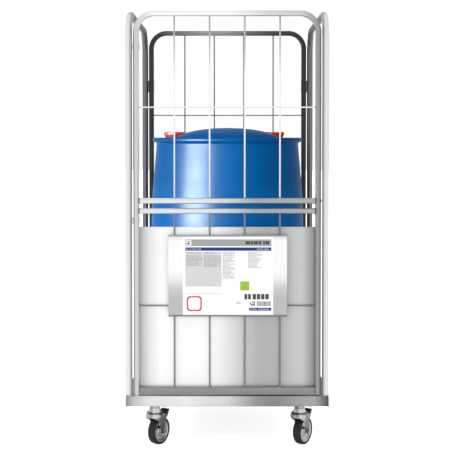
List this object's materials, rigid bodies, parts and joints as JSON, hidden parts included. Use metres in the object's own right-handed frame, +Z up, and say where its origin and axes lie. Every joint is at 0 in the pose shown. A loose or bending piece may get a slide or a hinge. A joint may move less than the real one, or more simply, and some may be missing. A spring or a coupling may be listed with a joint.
{
  "type": "drum roll cage trolley",
  "caption": "Castored roll cage for one upright plastic drum: sheet base with tube hoops, wire back, and a hinged wire front gate with a steel lower panel and label plate.",
  "frame": {"origin": "on the floor, under the middle of the base", "axes": "+Z up; -Y towards the front, where the gate is; +X to the right of someone facing the gate"},
  "size_m": [0.72, 0.8, 1.564],
  "materials": {
    "base_steel": "brushed sheet steel with a soft zinc sheen",
    "grey_zinc": "zinc plated, mid grey",
    "bright_zinc": "bright zinc plated tube and wire",
    "dark_steel": "dark anthracite coating, satin",
    "sill_grey": "warm grey coating, matt",
    "panel_steel": "brushed stainless sheet, vertical grain",
    "label_white": "white self-adhesive sheet, matt",
    "castor_steel": "bright zinc pressed steel",
    "drum_blue": "blue blow-moulded polyethylene, semi-gloss",
    "bung_red": "red moulded polyethylene, semi-gloss",
    "gasket_black": "black elastomer ring, matt",
    "tyre_black": "black rubber tread, matt",
    "lever_black": "black moulded lever, satin"
  },
  "bodies": {
    "cage": {"base_frame": "base_steel", "deck_plate": "base_steel", "deck_rail_left": "grey_zinc", "deck_rail_right": "grey_zinc", "side_hoop_left": "grey_zinc", "side_hoop_right": "grey_zinc", "back_hoop": "dark_steel", "back_bottom_rail": "sill_grey", "back_wires": "grey_zinc", "back_tie_left": "grey_zinc", "back_tie_right": "grey_zinc", "gate_pivot_pin": "grey_zinc", "hinge_eye_lower": "grey_zinc", "hinge_eye_upper": "grey_zinc", "bolt_keeper": "grey_zinc", "front_left_top_plate": "castor_steel", "front_left_king_bolt": "castor_steel", "front_right_top_plate": "castor_steel", "front_right_king_bolt": "castor_steel", "rear_left_top_plate": "castor_steel", "rear_left_king_bolt": "castor_steel", "rear_right_top_plate": "castor_steel", "rear_right_king_bolt": "castor_steel"},
    "gate": {"gate_hoop": "bright_zinc", "gate_upper_rail": "bright_zinc", "gate_lower_rail": "bright_zinc", "gate_bottom_rail": "sill_grey", "gate_upper_wires": "bright_zinc", "gate_lower_wires": "bright_zinc", "gate_panel": "panel_steel", "label_plate": "panel_steel", "label_sheet": "label_white", "bolt_barrel": "grey_zinc"},
    "gate_bolt": {"gate_bolt": "castor_steel"},
    "drum": {"drum_shell": "drum_blue"},
    "bung_left_seat": {"drum_gasket_left": "gasket_black"},
    "bung_left": {"drum_bung_left": "bung_red"},
    "bung_right_seat": {"drum_gasket_right": "gasket_black"},
    "bung_right": {"drum_bung_right": "bung_red"},
    "front_left_swivel": {"front_left_fork": "castor_steel", "front_left_axle_bolt": "castor_steel", "front_left_brake_pin": "castor_steel"},
    "front_left_wheel": {"front_left_rim": "castor_steel", "front_left_tyre": "tyre_black"},
    "front_left_brake": {"front_left_brake_lever": "lever_black"},
    "front_right_swivel": {"front_right_fork": "castor_steel", "front_right_axle_bolt": "castor_steel", "front_right_brake_pin": "castor_steel"},
    "front_right_wheel": {"front_right_rim": "castor_steel", "front_right_tyre": "tyre_black"},
    "front_right_brake": {"front_right_brake_lever": "lever_black"},
    "rear_left_swivel": {"rear_left_fork": "castor_steel", "rear_left_axle_bolt": "castor_steel"},
    "rear_left_wheel": {"rear_left_rim": "castor_steel", "rear_left_tyre": "tyre_black"},
    "rear_right_swivel": {"rear_right_fork": "castor_steel", "rear_right_axle_bolt": "castor_steel"},
    "rear_right_wheel": {"rear_right_rim": "castor_steel", "rear_right_tyre": "tyre_black"}
  },
  "joints": [
    {"name": "gate_swing", "type": "hinge", "parent": "cage", "child": "gate", "pos_m": [-0.3215, -0.385, 0.2], "axis": [0, 0, -1], "range_deg": [0, 105]},
    {"name": "gate_bolt_slide", "type": "slide", "parent": "gate", "child": "gate_bolt", "axis": [1, 0, 0], "range_m": [0, 0.02]},
    {"name": "drum_lift", "type": "slide", "parent": "cage", "child": "drum", "axis": [0, 0, 1], "range_m": [0, 1.45]},
    {"name": "bung_left_lift", "type": "slide", "parent": "drum", "child": "bung_left_seat", "axis": [0, 0, 1], "range_m": [0, 0.03]},
    {"name": "bung_left_turn", "type": "hinge", "parent": "bung_left_seat", "child": "bung_left", "pos_m": [-0.205, 0.025, 1.11], "axis": [0, 0, 1], "range_deg": [0, 2160]},
    {"name": "bung_right_lift", "type": "slide", "parent": "drum", "child": "bung_right_seat", "axis": [0, 0, 1], "range_m": [0, 0.03]},
    {"name": "bung_right_turn", "type": "hinge", "parent": "bung_right_seat", "child": "bung_right", "pos_m": [0.18, 0.025, 1.11], "axis": [0, 0, 1], "range_deg": [0, 2160]},
    {"name": "front_left_swivel_turn", "type": "hinge", "parent": "cage", "child": "front_left_swivel", "pos_m": [-0.261, -0.325, 0.11], "axis": [0, 0, 1], "continuous": true},
    {"name": "front_left_wheel_spin", "type": "hinge", "parent": "front_left_swivel", "child": "front_left_wheel", "pos_m": [-0.24828, -0.30465, 0.05], "axis": [0.848, -0.5299, 0], "continuous": true},
    {"name": "front_left_brake_press", "type": "hinge", "parent": "front_left_swivel", "child": "front_left_brake", "pos_m": [-0.24086, -0.29277, 0.1035], "axis": [-0.848, 0.5299, 0], "range_deg": [0, 8.5]},
    {"name": "front_right_swivel_turn", "type": "hinge", "parent": "cage", "child": "front_right_swivel", "pos_m": [0.261, -0.325, 0.11], "axis": [0, 0, 1], "continuous": true},
    {"name": "front_right_wheel_spin", "type": "hinge", "parent": "front_right_swivel", "child": "front_right_wheel", "pos_m": [0.27372, -0.30465, 0.05], "axis": [0.848, -0.5299, 0], "continuous": true},
    {"name": "front_right_brake_press", "type": "hinge", "parent": "front_right_swivel", "child": "front_right_brake", "pos_m": [0.28114, -0.29277, 0.1035], "axis": [-0.848, 0.5299, 0], "range_deg": [0, 8.5]},
    {"name": "rear_left_swivel_turn", "type": "hinge", "parent": "cage", "child": "rear_left_swivel", "pos_m": [-0.261, 0.325, 0.11], "axis": [0, 0, 1], "continuous": true},
    {"name": "rear_left_wheel_spin", "type": "hinge", "parent": "rear_left_swivel", "child": "rear_left_wheel", "pos_m": [-0.24828, 0.34535, 0.05], "axis": [0.848, -0.5299, 0], "continuous": true},
    {"name": "rear_right_swivel_turn", "type": "hinge", "parent": "cage", "child": "rear_right_swivel", "pos_m": [0.261, 0.325, 0.11], "axis": [0, 0, 1], "continuous": true},
    {"name": "rear_right_wheel_spin", "type": "hinge", "parent": "rear_right_swivel", "child": "rear_right_wheel", "pos_m": [0.27372, 0.34535, 0.05], "axis": [0.848, -0.5299, 0], "continuous": true}
  ],
  "couplings": [
    {"joint": "bung_left_lift", "follows": "bung_left_turn", "m_per_rad": 0.000795},
    {"joint": "bung_right_lift", "follows": "bung_right_turn", "m_per_rad": 0.000795}
  ]
}
